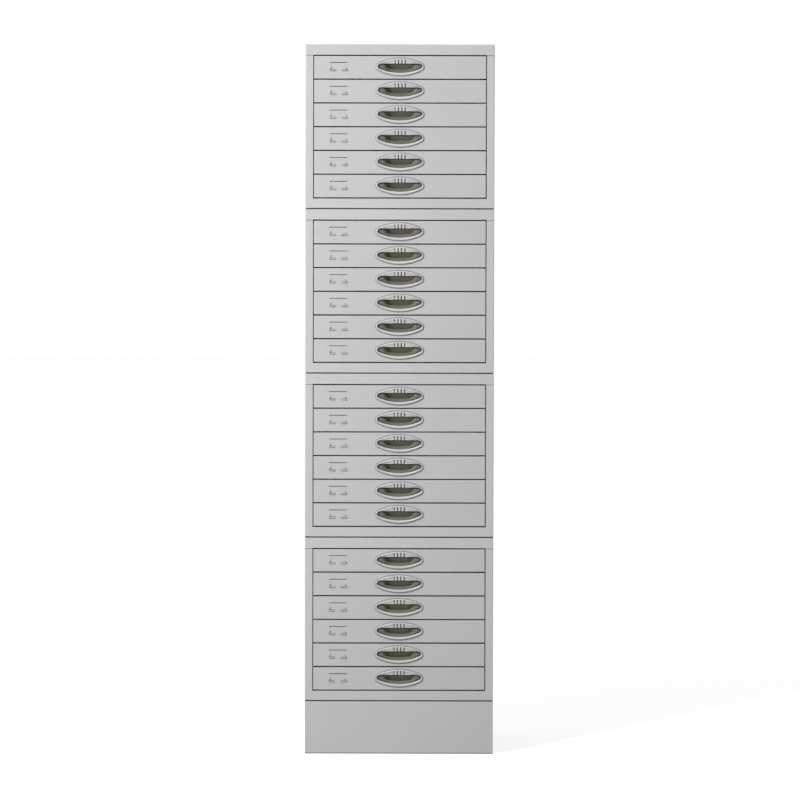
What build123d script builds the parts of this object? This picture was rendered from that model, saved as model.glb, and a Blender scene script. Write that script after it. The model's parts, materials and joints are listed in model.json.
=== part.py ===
from build123d import *
import math
import os

# Microscope slide cabinet in sheet steel: equal drawer modules stacked on a plinth.
# The origin is on the floor in the middle of the footprint, +Z is up, drawers open towards -Y.
# All sizes are in millimetres.

# Cabinet
WIDTH = 465.0
DEPTH = 446.4
MODULES = 4
MODULE_HEIGHT = 405.0
DRAWERS = 6
PLINTH_HEIGHT = 130.0

# Module casing, bent from one gauge of sheet
CASING_SHEET = 1.2
BEND_RADIUS = 1.8
STILE = 19.0
RAIL = 26.1
FRONT_RETURN = 32.0
REAR_RETURN = 30.0
SEAM_WIDTH = 1.0
SEAM_DEPTH = 0.8

# A module stands on a pad pressed down in its floor, so a shadow gap shows under its outline
SHADOW_GAP = 2.0
PAD_INSET = 6.0

# How far a cut runs past the faces that it opens
OVERCUT = 1.0

# Stacking tabs under each module, and the slots that take them
TAB_WIDTH = 24.0
TAB_DROP = 5.0
TAB_INSET = 60.0
TAB_CLEARANCE = 0.4

# Back panel, a shallow pan between the rear returns
BACK_SHEET = 1.0
BACK_FLANGE = 10.0
BACK_CLEARANCE = 0.3

# Plinth
PLINTH_SHEET = 1.5
PLINTH_FOOT = 25.0

# Drawer front, a closed double skin
FRONT_GAP = 2.4
SIDE_GAP = 1.5
FRONT_SHEET = 1.2
FRONT_THICKNESS = 20.0

# Tray and lane dividers
TRAY_SHEET = 1.0
TRAY_LIFT = 2.0
TRAY_DROP = 4.0
TRAY_BACK_GAP = 6.0
HEM_HEIGHT = 6.0
HEM_SHEET = 0.9
LANES = 5
DIVIDER_HEIGHT = 19.0
DIVIDER_SHEET = 1.6
DIVIDER_SEAT = 0.2

# Angle runners, one each side of every drawer
RUNNER_SHEET = 1.4
RUNNER_HEIGHT = 16.0
RUNNER_SHELF = 16.0
RUNNER_SIDE_GAP = 0.8
RUNNER_LIFT_GAP = 0.3
RUNNER_END_GAP = 0.3

# Recessed pull: a lens of two long arcs with round ends, and the cavity under its hood
PULL_WIDTH = 118.0
PULL_HEIGHT = 43.4
PULL_END_RADIUS = 9.3
PULL_RISE = 0.8
PULL_PROUD = 3.6
PULL_BEVEL = 2.6
HOOD_HEIGHT = 13.5
CAVITY_MARGIN = 4.2
CAVITY_RIM = 7.4
CAVITY_CORNER_RADIUS = 6.4
DISH_FLOOR = 0.8
CUP_SIDE = 18.0
CUP_COVER = 0.5
CUP_BACK_GAP = 3.8
CUP_WALL = 1.3
CUP_CLEARANCE = 0.3
GRIP_GROOVES = 4
GROOVE_PITCH = 8.7
GROOVE_SHIFT = 0.8
GROOVE_WIDTH = 2.8
GROOVE_HEIGHT = 9.5
GROOVE_DEPTH = 1.1
LONG_ARC_STEPS = 6
END_ARC_STEPS = 4
CORNER_STEPS = 3
CAVITY_ARC_STEPS = 5

# Card holder stamped in the drawer front: a slit over two ledges, each formed out of a thin slot
# with a slanting cut at its outer end. The ledges' ends and the cuts' tips are given from the
# middle of the holder, the left ones first.
HOLDER_EDGE = 60.6
SLIT_LENGTH = 43.5
SLIT_HEIGHT = 1.6
SLIT_RISE = 11.7
LEDGE_LOW = -8.0
LEDGE_HEIGHT = 2.1
LEDGE_PROUD = 1.8
LEDGE_LEAN = 0.45
LEDGE_SHEET = 0.9
LEDGE_RELIEF = 0.8
LEDGE_ENDS = ((-21.0, -6.5), (22.5, 8.0))
SLOT_HEIGHT = 1.5
CUT_FOOT_WIDTH = 3.4
CUT_TIPS = ((-15.2, 4.8), (16.9, 1.2))

# Places and sizes that follow from the values above
FACE_Y = -(DEPTH + PULL_PROUD) / 2 + PULL_PROUD
BACK_Y = FACE_Y + DEPTH
CENTRE_Y = (FACE_Y + BACK_Y) / 2
OPENING_WIDTH = WIDTH - 2 * STILE
OPENING_HEIGHT = MODULE_HEIGHT - 2 * RAIL
FRONT_WIDTH = OPENING_WIDTH - 2 * SIDE_GAP
FRONT_HEIGHT = (OPENING_HEIGHT - (DRAWERS + 1) * FRONT_GAP) / DRAWERS
DRAWER_PITCH = FRONT_HEIGHT + FRONT_GAP
TRAY_WIDTH = OPENING_WIDTH - 2 * (RUNNER_SHEET + RUNNER_SIDE_GAP)
TRAY_BOTTOM = TRAY_LIFT - FRONT_HEIGHT / 2
TRAY_TOP = FRONT_HEIGHT / 2 - TRAY_DROP
TRAY_FRONT_Y = FACE_Y + FRONT_THICKNESS
RUNNER_BACK_Y = BACK_Y - BACK_FLANGE - RUNNER_END_GAP
TRAY_BACK_Y = BACK_Y - BACK_FLANGE - TRAY_BACK_GAP
HOLDER_X = HOLDER_EDGE - FRONT_WIDTH / 2

# The pull's long arcs touch its end circles, so their centres and radii differ by as much.
LENS_END_X = PULL_WIDTH / 2 - PULL_END_RADIUS
LENS_DROP = PULL_HEIGHT / 2 - PULL_END_RADIUS
LENS_REACH = (LENS_END_X**2 + LENS_DROP**2) / (2 * LENS_DROP)
LENS_RADIUS = LENS_REACH + PULL_END_RADIUS
LENS_CENTRE = LENS_REACH - LENS_DROP
CUP_WIDTH = PULL_WIDTH - 2 * CUP_SIDE
CUP_DEPTH = FRONT_THICKNESS - FRONT_SHEET - CUP_BACK_GAP


def block(low, high):
    """Box between two corner points."""
    size = [b - a for a, b in zip(low, high)]
    middle = [(a + b) / 2 for a, b in zip(low, high)]
    return Pos(*middle) * Box(*size)


def module_floor(module):
    """Height of a module's underside; module 1 is the top one."""
    return PLINTH_HEIGHT + (MODULES - module) * MODULE_HEIGHT


def drawer_centre(module, drawer):
    """Height of the middle of a drawer front; drawer 1 is the top one of its module."""
    top = module_floor(module) + MODULE_HEIGHT - RAIL - FRONT_GAP - FRONT_HEIGHT / 2
    return top - (drawer - 1) * DRAWER_PITCH


def tab_places():
    """Centres of the four stacking tabs, in plan."""
    x = WIDTH / 2 - TAB_INSET
    y = DEPTH / 2 - TAB_INSET
    return [(sx * x, CENTRE_Y + sy * y) for sx in (-1, 1) for sy in (-1, 1)]


def tab_slots(z, sheet):
    """Slots for the stacking tabs, cut through a sheet whose top is at height z."""
    half_x = TAB_WIDTH / 2 + TAB_CLEARANCE
    half_y = CASING_SHEET / 2 + TAB_CLEARANCE
    return [
        block((x - half_x, y - half_y, z - 2 * sheet), (x + half_x, y + half_y, z + sheet))
        for x, y in tab_places()
    ]


def footprint(inset, low, high):
    """Block over the cabinet's footprint, drawn in by an inset, between two heights."""
    half = WIDTH / 2 - inset
    return block((-half, FACE_Y + inset, low), (half, BACK_Y - inset, high))


def bent_box(low, high, sheet):
    """Closed box of sheet between two heights, bent round at its front edges."""
    outer = footprint(0, low, high)
    front_edges = outer.edges().filter_by_position(Axis.Y, FACE_Y, FACE_Y)
    return fillet(front_edges, BEND_RADIUS) - footprint(sheet, low + sheet, high - sheet)


def return_flange(y_low, y_high):
    """Flange round a casing opening, square to its face."""
    half = OPENING_WIDTH / 2
    top = MODULE_HEIGHT - RAIL
    skin = CASING_SHEET
    outer = block((-half - skin, y_low, RAIL - skin), (half + skin, y_high, top + skin))
    return outer - block((-half, y_low, RAIL), (half, y_high, top))


def casing(module):
    """Module casing: wrap on a pressed floor pad, front and rear frames with returns, tabs."""
    skin = CASING_SHEET
    body = bent_box(SHADOW_GAP, MODULE_HEIGHT, skin)
    body += footprint(PAD_INSET, 0, SHADOW_GAP)
    body -= footprint(PAD_INSET + skin, skin, SHADOW_GAP + skin + OVERCUT)
    half = OPENING_WIDTH / 2
    top = MODULE_HEIGHT - RAIL
    body -= block((-half, FACE_Y - OVERCUT, RAIL), (half, BACK_Y + OVERCUT, top))
    body += return_flange(FACE_Y + skin, FACE_Y + FRONT_RETURN)
    body += return_flange(BACK_Y - REAR_RETURN, BACK_Y - skin)
    for side in (-1, 1):
        seam = Box(STILE, 2 * SEAM_DEPTH, SEAM_WIDTH)
        seam_z = top - FRONT_GAP / 2
        body -= Pos(side * (half + STILE / 2), FACE_Y, seam_z) * seam
    for slot in tab_slots(MODULE_HEIGHT, skin):
        body -= slot
    for x, y in tab_places():
        tab = Box(TAB_WIDTH, skin, TAB_DROP + skin)
        body += Pos(x, y, (skin - TAB_DROP) / 2) * tab
    return Pos(0, 0, module_floor(module)) * body


def back_panel(module):
    """Shallow pan that closes the rear opening, flush with the back."""
    half = OPENING_WIDTH / 2 - BACK_CLEARANCE
    low = RAIL + BACK_CLEARANCE
    high = MODULE_HEIGHT - RAIL - BACK_CLEARANCE
    pan = block((-half, BACK_Y - BACK_FLANGE, low), (half, BACK_Y, high))
    skin = BACK_SHEET
    pan -= block(
        (-half + skin, BACK_Y - BACK_FLANGE, low + skin), (half - skin, BACK_Y - skin, high - skin)
    )
    return Pos(0, 0, module_floor(module)) * pan


def plinth_base():
    """Plinth: four walls and a deck, open below, with a foot flange turned in along the floor."""
    body = bent_box(0, PLINTH_HEIGHT, PLINTH_SHEET)
    body -= footprint(PLINTH_FOOT, -OVERCUT, PLINTH_SHEET)
    for slot in tab_slots(PLINTH_HEIGHT, PLINTH_SHEET):
        body -= slot
    return body


def runner(module, drawer, side):
    """Angle under one side of a tray, welded to the front and rear returns of the casing."""
    wall = side * OPENING_WIDTH / 2
    shelf_top = TRAY_BOTTOM - RUNNER_LIFT_GAP
    shelf_low = shelf_top - RUNNER_SHEET
    front_y = TRAY_FRONT_Y + RUNNER_END_GAP
    outline = Polyline(
        (wall, shelf_low),
        (wall - side * RUNNER_SHELF, shelf_low),
        (wall - side * RUNNER_SHELF, shelf_top),
        (wall - side * RUNNER_SHEET, shelf_top),
        (wall - side * RUNNER_SHEET, shelf_low + RUNNER_HEIGHT),
        (wall, shelf_low + RUNNER_HEIGHT),
        close=True,
    )
    section = make_face(Plane.XZ * outline)
    angle = extrude(section, RUNNER_BACK_Y - front_y, dir=(0, 1, 0))
    return Pos(0, front_y, drawer_centre(module, drawer)) * angle


def runners(side):
    """All the runners of one side of the cabinet, as separate pieces."""
    places = [(m, d) for m in range(1, MODULES + 1) for d in range(1, DRAWERS + 1)]
    return Compound(children=[runner(m, d, side) for m, d in places])


def arc_points(centre, radius, start, end, steps):
    """Points along an arc from one angle to another, in degrees, without the last one."""
    points = []
    for step in range(steps):
        angle = math.radians(start + (end - start) * step / steps)
        points.append((centre[0] + radius * math.cos(angle), centre[1] + radius * math.sin(angle)))
    return points


def flat_face(corners):
    """Flat face through points in space."""
    return make_face(Polyline(*corners, close=True)).face()


def face_on(points, y):
    """Flat face at depth y from points in X and Z."""
    return flat_face([(x, y, z) for x, z in points])


def lens_points(inset):
    """Outline of the pull: two long arcs joined by round ends, moved in by an inset."""
    radius = LENS_RADIUS - inset
    end_radius = PULL_END_RADIUS - inset
    side = 90 - math.degrees(math.asin(LENS_END_X / LENS_REACH))
    low, high = (0, PULL_RISE - LENS_CENTRE), (0, PULL_RISE + LENS_CENTRE)
    left, right = (-LENS_END_X, PULL_RISE), (LENS_END_X, PULL_RISE)
    return (
        arc_points(low, radius, side, 180 - side, LONG_ARC_STEPS)
        + arc_points(left, end_radius, 180 - side, 180 + side, END_ARC_STEPS)
        + arc_points(high, radius, 180 + side, 360 - side, LONG_ARC_STEPS)
        + arc_points(right, end_radius, -side, side, END_ARC_STEPS)
    )


def bevelled_rim():
    """Rim of the pull: its outline on the drawer front, drawn in by the bevel at its own front."""
    base = [(x, 0, z) for x, z in lens_points(0)]
    front = [(x, -PULL_PROUD, z) for x, z in lens_points(PULL_BEVEL)]
    sides = []
    for index, corner in enumerate(base):
        following = (index + 1) % len(base)
        sides.append(flat_face([corner, base[following], front[following], front[index]]))
    return Solid(Shell(sides + [flat_face(base), flat_face(front)]))


def cavity_points():
    """Outline of the cavity: straight under the hood, round corners, and a long lower arc."""
    top = PULL_RISE + PULL_HEIGHT / 2 - HOOD_HEIGHT
    bottom = PULL_RISE - PULL_HEIGHT / 2 + CAVITY_RIM
    corner_x = PULL_WIDTH / 2 - CAVITY_MARGIN - CAVITY_CORNER_RADIUS
    corner_z = top - CAVITY_CORNER_RADIUS
    # Radius of the arc through the lowest point that touches both corner circles inside.
    rise = corner_z - bottom
    numerator = corner_x**2 + rise**2 - CAVITY_CORNER_RADIUS**2
    radius = numerator / (2 * (rise - CAVITY_CORNER_RADIUS))
    turn = math.degrees(math.atan2(corner_x, radius - rise))
    left, right = (-corner_x, corner_z), (corner_x, corner_z)
    return (
        arc_points(left, CAVITY_CORNER_RADIUS, 90, 270 - turn, CORNER_STEPS)
        + arc_points((0, bottom + radius), radius, 270 - turn, 270 + turn, CAVITY_ARC_STEPS)
        + arc_points(right, CAVITY_CORNER_RADIUS, turn - 90, 90, CORNER_STEPS)
        + [(corner_x, top)]
    )


def cup_box(grow, y_low, y_high):
    """Block of the cup's outline, grown all round, between two depths."""
    hole_x = CUP_WIDTH / 2 + CUP_CLEARANCE
    # The lens covers the hole's corners, so its height there sets the cup's.
    hole_z = math.sqrt(LENS_RADIUS**2 - hole_x**2) - LENS_CENTRE - CUP_COVER
    half_x = CUP_WIDTH / 2 + grow
    half_z = hole_z - CUP_CLEARANCE + grow
    return block((-half_x, y_low, PULL_RISE - half_z), (half_x, y_high, PULL_RISE + half_z))


def pull():
    """Recessed pull about the drawer front's centre, with the front's face at y = 0."""
    body = bevelled_rim()
    body += cup_box(0, 0, CUP_DEPTH)
    body -= cup_box(-CUP_WALL, -DISH_FLOOR, CUP_DEPTH - CUP_WALL)
    dish_floor = face_on(cavity_points(), -DISH_FLOOR)
    body -= extrude(dish_floor, PULL_PROUD, dir=(0, -1, 0))
    hood_low = PULL_RISE + PULL_HEIGHT / 2 - HOOD_HEIGHT
    for index in range(GRIP_GROOVES):
        x = GROOVE_SHIFT + (index - (GRIP_GROOVES - 1) / 2) * GROOVE_PITCH
        groove = Box(GROOVE_WIDTH, 2 * GROOVE_DEPTH, GROOVE_HEIGHT)
        body -= Pos(x, -PULL_PROUD, hood_low + GROOVE_HEIGHT / 2) * groove
    return body


def ledge_slot(ends, tip):
    """Slot that a ledge was formed out of, and the slanting cut from its outer end to a tip."""
    outer, inner = ends
    outward = math.copysign(1, outer)
    foot = outer + outward * LEDGE_RELIEF
    low = LEDGE_LOW + LEDGE_SHEET
    high = low + SLOT_HEIGHT
    bend = (foot - outward * CUT_FOOT_WIDTH, high)
    corners = [(inner, low), (foot, low), tip, bend, (inner, high)]
    return extrude(face_on(corners, 0), 2 * FRONT_SHEET, both=True)


def card_ledge(ends):
    """Ledge of the card holder, with a sloping seat behind a lip that leans back in."""
    low, lip = LEDGE_LOW, LEDGE_LOW + LEDGE_HEIGHT
    lip_y = LEDGE_LEAN - LEDGE_PROUD
    profile = [
        (0, low),
        (-LEDGE_PROUD, low),
        (lip_y, lip),
        (lip_y + LEDGE_SHEET, lip),
        (0, low + LEDGE_SHEET),
    ]
    section = flat_face([(min(ends), y, z) for y, z in profile])
    return extrude(section, max(ends) - min(ends), dir=(1, 0, 0))


def drawer_front():
    """Double-skinned drawer front about its centre, with its face at y = 0."""
    half_x = FRONT_WIDTH / 2
    half_z = FRONT_HEIGHT / 2
    skin = FRONT_SHEET
    body = block((-half_x, 0, -half_z), (half_x, FRONT_THICKNESS, half_z))
    body -= block(
        (skin - half_x, skin, skin - half_z), (half_x - skin, FRONT_THICKNESS - skin, half_z - skin)
    )
    body -= cup_box(CUP_CLEARANCE, -skin, FRONT_THICKNESS / 2)
    slit = Box(SLIT_LENGTH, 4 * skin, SLIT_HEIGHT)
    body -= Pos(HOLDER_X, 0, SLIT_RISE) * slit
    for ends, tip in zip(LEDGE_ENDS, CUT_TIPS):
        body -= Pos(HOLDER_X, 0, 0) * ledge_slot(ends, tip)
        body += Pos(HOLDER_X, 0, 0) * card_ledge(ends)
    return body


def tray():
    """Open tray behind the drawer front, about the front's centre, hemmed along its rim."""
    half = TRAY_WIDTH / 2
    front = FRONT_THICKNESS
    back = FRONT_THICKNESS + TRAY_BACK_Y - TRAY_FRONT_Y
    skin = TRAY_SHEET
    hem = HEM_SHEET
    body = block((-half, front, TRAY_BOTTOM), (half, back, TRAY_TOP))
    body += block((-half - hem, front, TRAY_TOP - HEM_HEIGHT), (half + hem, back + hem, TRAY_TOP))
    body -= block((skin - half, front, TRAY_BOTTOM + skin), (half - skin, back - skin, TRAY_TOP))
    return body


def dividers():
    """Low strips that part the tray into lanes, each a piece of its own."""
    lane_pitch = (TRAY_WIDTH - TRAY_SHEET) / LANES
    low = TRAY_BOTTOM + TRAY_SHEET + DIVIDER_SEAT
    front = FRONT_THICKNESS + DIVIDER_SEAT
    back = FRONT_THICKNESS + TRAY_BACK_Y - TRAY_FRONT_Y - TRAY_SHEET - DIVIDER_SEAT
    strips = []
    for index in range(1, LANES):
        x = (index - LANES / 2) * lane_pitch
        half = DIVIDER_SHEET / 2
        strips.append(block((x - half, front, low), (x + half, back, low + DIVIDER_HEIGHT)))
    return strips


def main():
    os.makedirs("parts", exist_ok=True)
    export_step(plinth_base(), "parts/plinth_base.step")
    export_step(runners(-1), "parts/left_runners.step")
    export_step(runners(1), "parts/right_runners.step")
    box = [drawer_front() + tray()] + dividers()
    grip = pull()
    for module in range(1, MODULES + 1):
        export_step(casing(module), f"parts/module_{module}_casing.step")
        export_step(back_panel(module), f"parts/module_{module}_back_panel.step")
        for drawer in range(1, DRAWERS + 1):
            place = Pos(0, FACE_Y, drawer_centre(module, drawer))
            name = f"parts/drawer_{module}_{drawer}"
            export_step(Compound(children=[place * piece for piece in box]), f"{name}_box.step")
            export_step(place * grip, f"{name}_pull.step")


main()
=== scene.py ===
import json
import math

import bpy
from bpy.props import FloatProperty, FloatVectorProperty, IntProperty, PointerProperty
from mathutils import Euler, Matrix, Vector


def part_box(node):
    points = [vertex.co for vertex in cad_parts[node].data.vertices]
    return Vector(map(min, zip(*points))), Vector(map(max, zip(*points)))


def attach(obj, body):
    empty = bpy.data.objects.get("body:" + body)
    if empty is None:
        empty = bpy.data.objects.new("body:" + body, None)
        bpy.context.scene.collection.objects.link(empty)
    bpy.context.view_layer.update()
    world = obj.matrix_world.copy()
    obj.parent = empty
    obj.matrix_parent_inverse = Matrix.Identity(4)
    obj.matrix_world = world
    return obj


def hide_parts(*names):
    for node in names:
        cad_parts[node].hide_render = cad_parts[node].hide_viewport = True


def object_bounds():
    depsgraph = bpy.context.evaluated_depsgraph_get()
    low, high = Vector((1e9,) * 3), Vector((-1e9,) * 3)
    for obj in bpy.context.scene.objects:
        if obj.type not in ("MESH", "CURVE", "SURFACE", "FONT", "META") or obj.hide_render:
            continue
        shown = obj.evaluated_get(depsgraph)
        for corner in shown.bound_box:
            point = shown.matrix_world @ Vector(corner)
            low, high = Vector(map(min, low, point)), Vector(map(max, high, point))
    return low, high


bl_info = {
    "name": "Microscope Slide Cabinet",
    "version": (1, 0, 0),
    "blender": (4, 5, 0),
    "location": "View3D > Sidebar > Slide Cabinet",
    "description": "Finishes a steel slide cabinet, forms its recessed pulls and lights it",
    "category": "Object",
}

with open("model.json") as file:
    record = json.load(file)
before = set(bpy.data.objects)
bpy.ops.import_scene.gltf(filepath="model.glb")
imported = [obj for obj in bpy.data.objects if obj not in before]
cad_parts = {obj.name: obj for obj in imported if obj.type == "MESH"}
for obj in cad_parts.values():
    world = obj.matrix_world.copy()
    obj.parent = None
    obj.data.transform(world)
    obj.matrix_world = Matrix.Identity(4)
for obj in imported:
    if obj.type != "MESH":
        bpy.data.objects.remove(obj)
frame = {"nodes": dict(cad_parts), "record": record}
CAD_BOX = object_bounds()
BODIES = frame["record"]["behaviour"]["bodies"]
DRAWERS = [name for name in BODIES if name != "cabinet"]
MODULES = [name[: -len("_casing")] for name in BODIES["cabinet"] if name.endswith("_casing")]

# The frame gives the cabinet's planes and the pull's overall size, in metres.
FACE_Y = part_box(f"{MODULES[0]}_casing")[0].y
PULL_LOW, PULL_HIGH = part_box(f"{DRAWERS[0]}_pull")
MM = 0.001


# ---------------------------------------------------------------- settings


def number(name, description, default, **kind):
    """Number setting, with a unit, a subtype or limits if they are given."""
    return FloatProperty(name=name, description=description, default=default, **kind)


def length(name, description, default):
    """Length setting whose default is given in millimetres."""
    return number(name, description, default * MM, unit="LENGTH")


def numbers(name, description, default, **kind):
    """Setting of two or three numbers."""
    return FloatVectorProperty(
        name=name, description=description, default=default, size=len(default), **kind
    )


class CabinetFinish(bpy.types.PropertyGroup):
    """Paint, metal and sheet edges."""

    casing_colour: numbers(
        "Casing colour",
        "Powder coat of the casings, back panels and plinth",
        (0.600, 0.600, 0.600),
        subtype="COLOR",
    )
    drawer_colour: numbers(
        "Drawer colour",
        "Powder coat of the drawer fronts and trays",
        (0.582, 0.582, 0.582),
        subtype="COLOR",
    )
    pull_colour: numbers(
        "Pull colour", "Satin paint of the pulls' rims and hoods", (0.600, 0.600, 0.592), subtype="COLOR"
    )
    # The cup's colour is partly its own darker olive primer and partly painted shade of the deep cavity.
    cup_colour: numbers(
        "Cup colour",
        "Darker primer in the middle of the pulls' cups",
        (0.190, 0.180, 0.142),
        subtype="COLOR",
    )
    # The ends' still darker colour is painted shade.
    cup_end_shade_colour: numbers(
        "Cup end colour",
        "Darker primer at the ends of the pulls' cups",
        (0.150, 0.145, 0.120),
        subtype="COLOR",
    )
    zinc_colour: numbers(
        "Zinc colour", "Plated steel of the drawer runners", (0.560, 0.570, 0.580), subtype="COLOR"
    )
    front_bend: length("Front bend", "Radius of the bends round a drawer front", 1.5)
    opening_bend: length("Opening bend", "Radius at the edge of a casing's front opening", 0.8)
    edge_break: length("Edge break", "Rounding that the coat leaves on every other sheet edge", 0.2)
    peel_size: length("Peel size", "Width of the ripples in the powder coat", 1.6)
    peel_depth: length("Peel depth", "Depth of the ripples in the powder coat", 0.03)


class PullShape(bpy.types.PropertyGroup):
    """Form of the recessed pull within its CAD size."""

    end_radius: length("End radius", "Radius of the lens's round ends", 9.3)
    bevel: length("Bevel", "Width of the rounded outer edge", 2.6)
    hood_height: length("Hood height", "From the top edge to the cavity", 13.5)
    crease: length("Crease", "From the top edge to the sunk part of the hood", 6.0)
    hood_sink: length("Hood sink", "Depth of the sunk part of the hood", 1.2)
    cavity_margin: length("Cavity margin", "From the lens's ends to the cavity", 4.2)
    cavity_rim: length("Cavity rim", "Height of the rim under the cavity", 7.4)
    corner_radius: length("Corner radius", "Radius of the cavity's corners", 6.4)
    lip_radius: length("Lip radius", "Rounding of the cavity's edge", 0.8)
    rim_dish: length("Rim dish", "Fall of the lower rim towards the cavity", 1.1)
    groove_count: IntProperty(name="Grooves", description="Finger grooves in the hood", default=4, min=0)
    groove_pitch: length("Groove pitch", "Distance between the grooves", 8.7)
    groove_shift: length("Groove shift", "From the pull's middle to the grooves' middle", 0.8)
    groove_width: length("Groove width", "Width of a groove at the surface", 3.2)
    groove_depth: length("Groove depth", "Depth of a groove", 2.6)
    groove_height: length("Groove height", "From the cavity up to a groove's end", 10.2)
    gap_ends: length("Gap at the ends", "Width of the shadow gap round the cup at its ends", 3.2)
    gap_middle: length("Gap in the middle", "Width of the shadow gap at the pull's middle", 0.7)
    gap_depth: length("Gap depth", "Depth of the shadow gap behind the drawer front", 2.4)
    shallow_proud: length("Shallow proud", "From the drawer front out to the cup's shallow ends", 0.9)
    cup_width: length("Cup width", "Outside width of the cup behind the drawer front", 81.0)
    cup_floor: length("Cup floor", "Thickness of the cup's bottom", 2.2)
    cup_clearance: length("Cup clearance", "Height from the cup's top to the lens's", 8.46)
    undercut: length("Undercut", "Height of the finger space behind the hood", 3.0)


class Studio(bpy.types.PropertyGroup):
    """Camera, lights and floor."""

    camera_distance: length("Camera distance", "From the drawer fronts to the camera", 9000.0)
    picture_width: length("Picture width", "Width of the view at the drawer fronts", 1972.0)
    camera_shift: length("Camera shift", "From the cabinet's middle to the camera, sideways", 0.8)
    camera_roll: number(
        "Camera roll", "Turn of the camera about its own axis", math.radians(-0.13), subtype="ANGLE"
    )
    camera_tilt: number(
        "Camera tilt", "How far the camera looks down", math.radians(1.6), subtype="ANGLE"
    )
    key_power: number("Key power", "Power of the high lamp at the upper left", 168.0, unit="POWER")
    key_size: numbers("Key size", "Width and height of the high lamp", (0.7, 0.7), unit="LENGTH")
    key_place: numbers(
        "Key place",
        "From the middle of the front's top edge to the high lamp",
        (-2.2, -3.4, 2.9),
        unit="LENGTH",
    )
    strip_power: number("Strip power", "Power of the tall lamp on the left", 12.0, unit="POWER")
    strip_size: numbers("Strip size", "Width and height of the tall lamp", (0.35, 1.9), unit="LENGTH")
    strip_place: numbers(
        "Strip place",
        "From the middle of the front's top edge to the tall lamp",
        (-1.3, -1.1, -0.4375),
        unit="LENGTH",
    )
    room_light: number("Room light", "Level of the soft light from all round", 0.25, min=0.0)
    room_slope: numbers(
        "Room slope", "How much more of it comes from the right, the back and above", (-0.45, 0.0, 0.8)
    )
    room_behind: number("Room behind", "Further light from behind the cabinet", 1.5, min=0.0)
    floor_size: length("Floor size", "Side of the floor", 120000.0)


# ---------------------------------------------------------------- node tools


def add_node(tree, kind, inputs=None, **settings):
    """New node; an input is given by its name or number, as a value or as the socket that feeds it."""
    node = tree.nodes.new(kind)
    for name, value in settings.items():
        setattr(node, name, value)
    for name, value in (inputs or {}).items():
        if isinstance(value, bpy.types.NodeSocket):
            tree.links.new(value, node.inputs[name])
        else:
            node.inputs[name].default_value = value
    return node


def calculate(tree, operation, first, second=0.0):
    """Result of one math node."""
    return add_node(tree, "ShaderNodeMath", {0: first, 1: second}, operation=operation).outputs[0]


def ramp(tree, value, low, high, to_low=0.0, to_high=1.0):
    """Value taken from one range to another, smoothly and within its ends."""
    inputs = {"Value": value, "From Min": low, "From Max": high, "To Min": to_low, "To Max": to_high}
    return add_node(tree, "ShaderNodeMapRange", inputs, interpolation_type="SMOOTHSTEP").outputs[0]


def mix_colour(tree, factor, first, second):
    """Two colours mixed by a factor."""
    return add_node(tree, "ShaderNodeMix", {0: factor, 6: first, 7: second}, data_type="RGBA").outputs[2]


def opaque(colour, times=1.0):
    """Colour for a socket, lighter or darker by a factor."""
    return tuple(min(1.0, times * channel) for channel in colour) + (1.0,)


def noise(tree, vector, scale, detail=2.0, roughness=0.5):
    """Value of a noise texture."""
    inputs = {"Vector": vector, "Scale": scale, "Detail": detail, "Roughness": roughness}
    return add_node(tree, "ShaderNodeTexNoise", inputs).outputs["Fac"]


def new_group(name, sockets, outputs):
    """Empty shader node group with named float or vector inputs and float outputs."""
    tree = bpy.data.node_groups.new(name, "ShaderNodeTree")
    for socket, value in sockets.items():
        kind = "NodeSocketVector" if value is None else "NodeSocketFloat"
        item = tree.interface.new_socket(socket, in_out="INPUT", socket_type=kind)
        if value is not None:
            item.default_value = value
    for socket in outputs:
        tree.interface.new_socket(socket, in_out="OUTPUT", socket_type="NodeSocketFloat")
    return tree, add_node(tree, "NodeGroupInput").outputs


def place_group(tree, group, inputs):
    """Outputs of a node in a material that stands for a shared effect."""
    return add_node(tree, "ShaderNodeGroup", inputs, node_tree=group).outputs


# ---------------------------------------------------------------- shared effects


def coat_texture():
    """Ripples of a powder coat as a height, and the faint clouds and specks in its colour."""
    sockets = {"Vector": None, "Peel size": MM, "Peel depth": 0.01 * MM}
    tree, given = new_group("powder_coat_texture", sockets, ["Height", "Clouds", "Specks"])
    scale = calculate(tree, "DIVIDE", 1.0, given["Peel size"])
    ripples = noise(tree, given["Vector"], scale, detail=1.0)
    finer = noise(tree, given["Vector"], calculate(tree, "MULTIPLY", scale, 4.3), detail=0.0)
    both = calculate(tree, "ADD", ripples, calculate(tree, "MULTIPLY", finer, 0.22))
    height = calculate(tree, "MULTIPLY", both, given["Peel depth"])
    clouds = noise(tree, given["Vector"], 5.5, detail=4.0, roughness=0.6)
    grains = noise(tree, given["Vector"], calculate(tree, "MULTIPLY", scale, 2.6), detail=0.0)
    results = {"Height": height, "Clouds": clouds, "Specks": ramp(tree, grains, 0.66, 0.80)}
    add_node(tree, "NodeGroupOutput", results)
    return tree


def edge_rub():
    """Mask of outer edges, broken up along their length, where a coat is rubbed smooth and thin."""
    tree, given = new_group("edge_rub", {"Vector": None, "Reach": 1.2 * MM}, ["Mask"])
    rounded = add_node(tree, "ShaderNodeBevel", {"Radius": given["Reach"]}, samples=4).outputs[0]
    normal = add_node(tree, "ShaderNodeNewGeometry").outputs["Normal"]
    agreement = add_node(
        tree, "ShaderNodeVectorMath", {0: rounded, 1: normal}, operation="DOT_PRODUCT"
    ).outputs["Value"]
    edges = ramp(tree, agreement, 0.99, 0.82)
    patches = ramp(tree, noise(tree, given["Vector"], 38.0, detail=4.0, roughness=0.7), 0.42, 0.68)
    add_node(tree, "NodeGroupOutput", {"Mask": calculate(tree, "MULTIPLY", edges, patches)})
    return tree


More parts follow.
